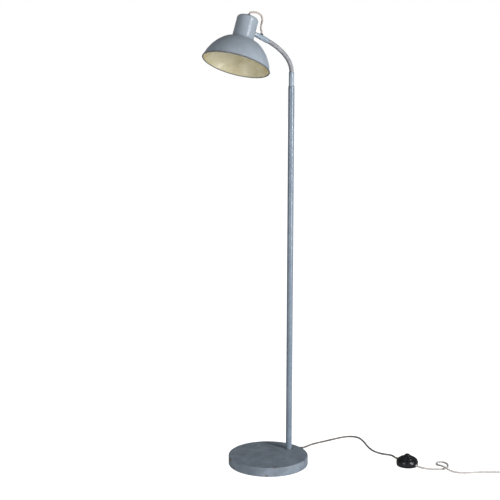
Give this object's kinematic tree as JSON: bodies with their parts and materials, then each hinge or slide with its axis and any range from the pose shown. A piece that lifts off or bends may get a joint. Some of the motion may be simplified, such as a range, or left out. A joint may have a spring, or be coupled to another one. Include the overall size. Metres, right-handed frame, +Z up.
{
  "type": "gooseneck reading floor lamp",
  "caption": "Floor lamp with a round weighted base, slim pole, flexible ball-jointed neck, domed metal shade that swivels on its stud, and a foot switch on the cord.",
  "frame": {"origin": "centre of the round base's underside, on the floor", "axes": "+Z up along the pole; +X from the base's centre to the pole; the shade hangs over -X and the floor cord leaves towards +X and -Y"},
  "size_m": [0.9186, 0.693, 1.3999],
  "materials": {
    "base_paint": "blue-grey lacquer, satin",
    "pole_paint": "blue-grey lacquer, satin",
    "neck_metal": "grey lacquer over close ribs",
    "head_paint": "blue-grey lacquer, satin",
    "bare_metal": "bare turned steel",
    "inner_steel": "zinc-plated steel",
    "brass": "plain brass",
    "black_plastic": "glossy black",
    "black_rubber": "matte black",
    "insulator": "glazed off-white",
    "felt": "dark felt",
    "grey_lead": "smooth grey lead",
    "cloth_flex": "twisted pink-brown and cream cloth flex",
    "cores": "insulated cores"
  },
  "bodies": {
    "stand": {"base_casting": "base_paint", "base_bottom_plate": "inner_steel", "base_felt_pad": "felt", "base_plate_screws": "inner_steel", "cord_gland": "black_rubber", "base_lead": "grey_lead", "cord_clamp_bar": "inner_steel", "cord_clamp_screws": "inner_steel", "supply_cores": "cores", "pole_tube": "pole_paint", "pole_foot_ring": "bare_metal", "pole_washer": "inner_steel", "pole_nut": "inner_steel", "neck_collar": "pole_paint", "neck_flex": "cloth_flex", "floor_cord_base": "grey_lead", "floor_cord_switch": "cloth_flex", "floor_cord_coil": "cloth_flex", "floor_cord_tail": "cloth_flex", "switch_sole": "black_plastic", "switch_cover": "black_plastic", "switch_works": "insulator", "switch_terminals": "brass", "switch_spring": "inner_steel", "switch_screws": "inner_steel", "plug_body": "black_plastic", "plug_pins": "brass"},
    "link_01": {"neck_link_01": "neck_metal"},
    "link_02": {"neck_link_02": "neck_metal"},
    "link_03": {"neck_link_03": "neck_metal"},
    "link_04": {"neck_link_04": "neck_metal"},
    "link_05": {"neck_link_05": "neck_metal"},
    "link_06": {"neck_link_06": "neck_metal"},
    "link_07": {"neck_link_07": "neck_metal"},
    "link_08": {"neck_link_08": "neck_metal"},
    "link_09": {"neck_link_09": "neck_metal"},
    "link_10": {"neck_link_10": "neck_metal"},
    "link_11": {"neck_link_11": "neck_metal"},
    "arm_end": {"arm_sleeve": "pole_paint", "flex_bush": "black_rubber", "swivel_stud": "inner_steel", "swivel_nut": "inner_steel", "swivel_spring_washer": "bare_metal", "head_flex": "cloth_flex"},
    "head": {"shade": "head_paint", "lamp_housing": "head_paint", "shade_ring": "black_plastic", "swivel_saddle": "bare_metal", "swivel_inner_washer": "inner_steel", "holder_nipple": "inner_steel", "cap_locknut": "inner_steel", "cap_cord_nut": "bare_metal", "holder_cap": "black_plastic", "holder_skirt": "black_plastic", "holder_thread": "brass", "holder_insulator": "insulator", "holder_contacts": "brass", "holder_screws": "brass"},
    "button": {"switch_button": "black_plastic"}
  },
  "joints": [
    {"name": "neck_bend_01", "type": "hinge", "parent": "stand", "child": "link_01", "pos_m": [0.084, 0, 1.2234], "axis": [0, -1, 0], "range_deg": [-8.5, 6], "deforming": ["neck_flex"]},
    {"name": "neck_sway_02", "type": "hinge", "parent": "link_01", "child": "link_02", "pos_m": [0.0816, 0, 1.23544], "axis": [0.9545, 0, 0.2981], "range_deg": [-13, 13], "deforming": ["neck_flex"]},
    {"name": "neck_bend_03", "type": "hinge", "parent": "link_02", "child": "link_03", "pos_m": [0.07672, 0, 1.2467], "axis": [0, -1, 0], "range_deg": [-8.5, 6], "deforming": ["neck_flex"]},
    {"name": "neck_bend_04", "type": "hinge", "parent": "link_03", "child": "link_04", "pos_m": [0.07001, 0, 1.25697], "axis": [0, -1, 0], "range_deg": [-8.5, 6], "deforming": ["neck_flex"]},
    {"name": "neck_sway_05", "type": "hinge", "parent": "link_04", "child": "link_05", "pos_m": [0.06195, 0, 1.26623], "axis": [0.7182, 0, 0.6958], "range_deg": [-13, 13], "deforming": ["neck_flex"]},
    {"name": "neck_bend_06", "type": "hinge", "parent": "link_05", "child": "link_06", "pos_m": [0.05295, 0, 1.27457], "axis": [0, -1, 0], "range_deg": [-8.5, 6], "deforming": ["neck_flex"]},
    {"name": "neck_bend_07", "type": "hinge", "parent": "link_06", "child": "link_07", "pos_m": [0.04328, 0, 1.28213], "axis": [0, -1, 0], "range_deg": [-8.5, 6], "deforming": ["neck_flex"]},
    {"name": "neck_sway_08", "type": "hinge", "parent": "link_07", "child": "link_08", "pos_m": [0.03313, 0, 1.28903], "axis": [0.54, 0, 0.8417], "range_deg": [-13, 13], "deforming": ["neck_flex"]},
    {"name": "neck_bend_09", "type": "hinge", "parent": "link_08", "child": "link_09", "pos_m": [0.02263, 0, 1.29538], "axis": [0, -1, 0], "range_deg": [-8.5, 6], "deforming": ["neck_flex"]},
    {"name": "neck_bend_10", "type": "hinge", "parent": "link_09", "child": "link_10", "pos_m": [0.01184, 0, 1.30123], "axis": [0, -1, 0], "range_deg": [-8.5, 6], "deforming": ["neck_flex"]},
    {"name": "neck_sway_11", "type": "hinge", "parent": "link_10", "child": "link_11", "pos_m": [0.0008, 0, 1.30659], "axis": [0.4146, 0, 0.91], "range_deg": [-13, 13], "deforming": ["neck_flex"]},
    {"name": "neck_bend_12", "type": "hinge", "parent": "link_11", "child": "arm_end", "pos_m": [-0.01049, 0, 1.31141], "axis": [0, -1, 0], "range_deg": [-8.5, 6], "deforming": ["neck_flex"]},
    {"name": "head_swivel", "type": "hinge", "parent": "arm_end", "child": "head", "pos_m": [-0.09264, 0, 1.34377], "axis": [-0.9304, 0, 0.3665], "range_deg": [-85, 85], "deforming": ["head_flex"]},
    {"name": "switch_press", "type": "slide", "parent": "stand", "child": "button", "axis": [0, 0, -1], "range_m": [0, 0.0035], "stiffness_N_per_m": 600, "springref_m": -0.003, "deforming": ["switch_spring"]}
  ]
}
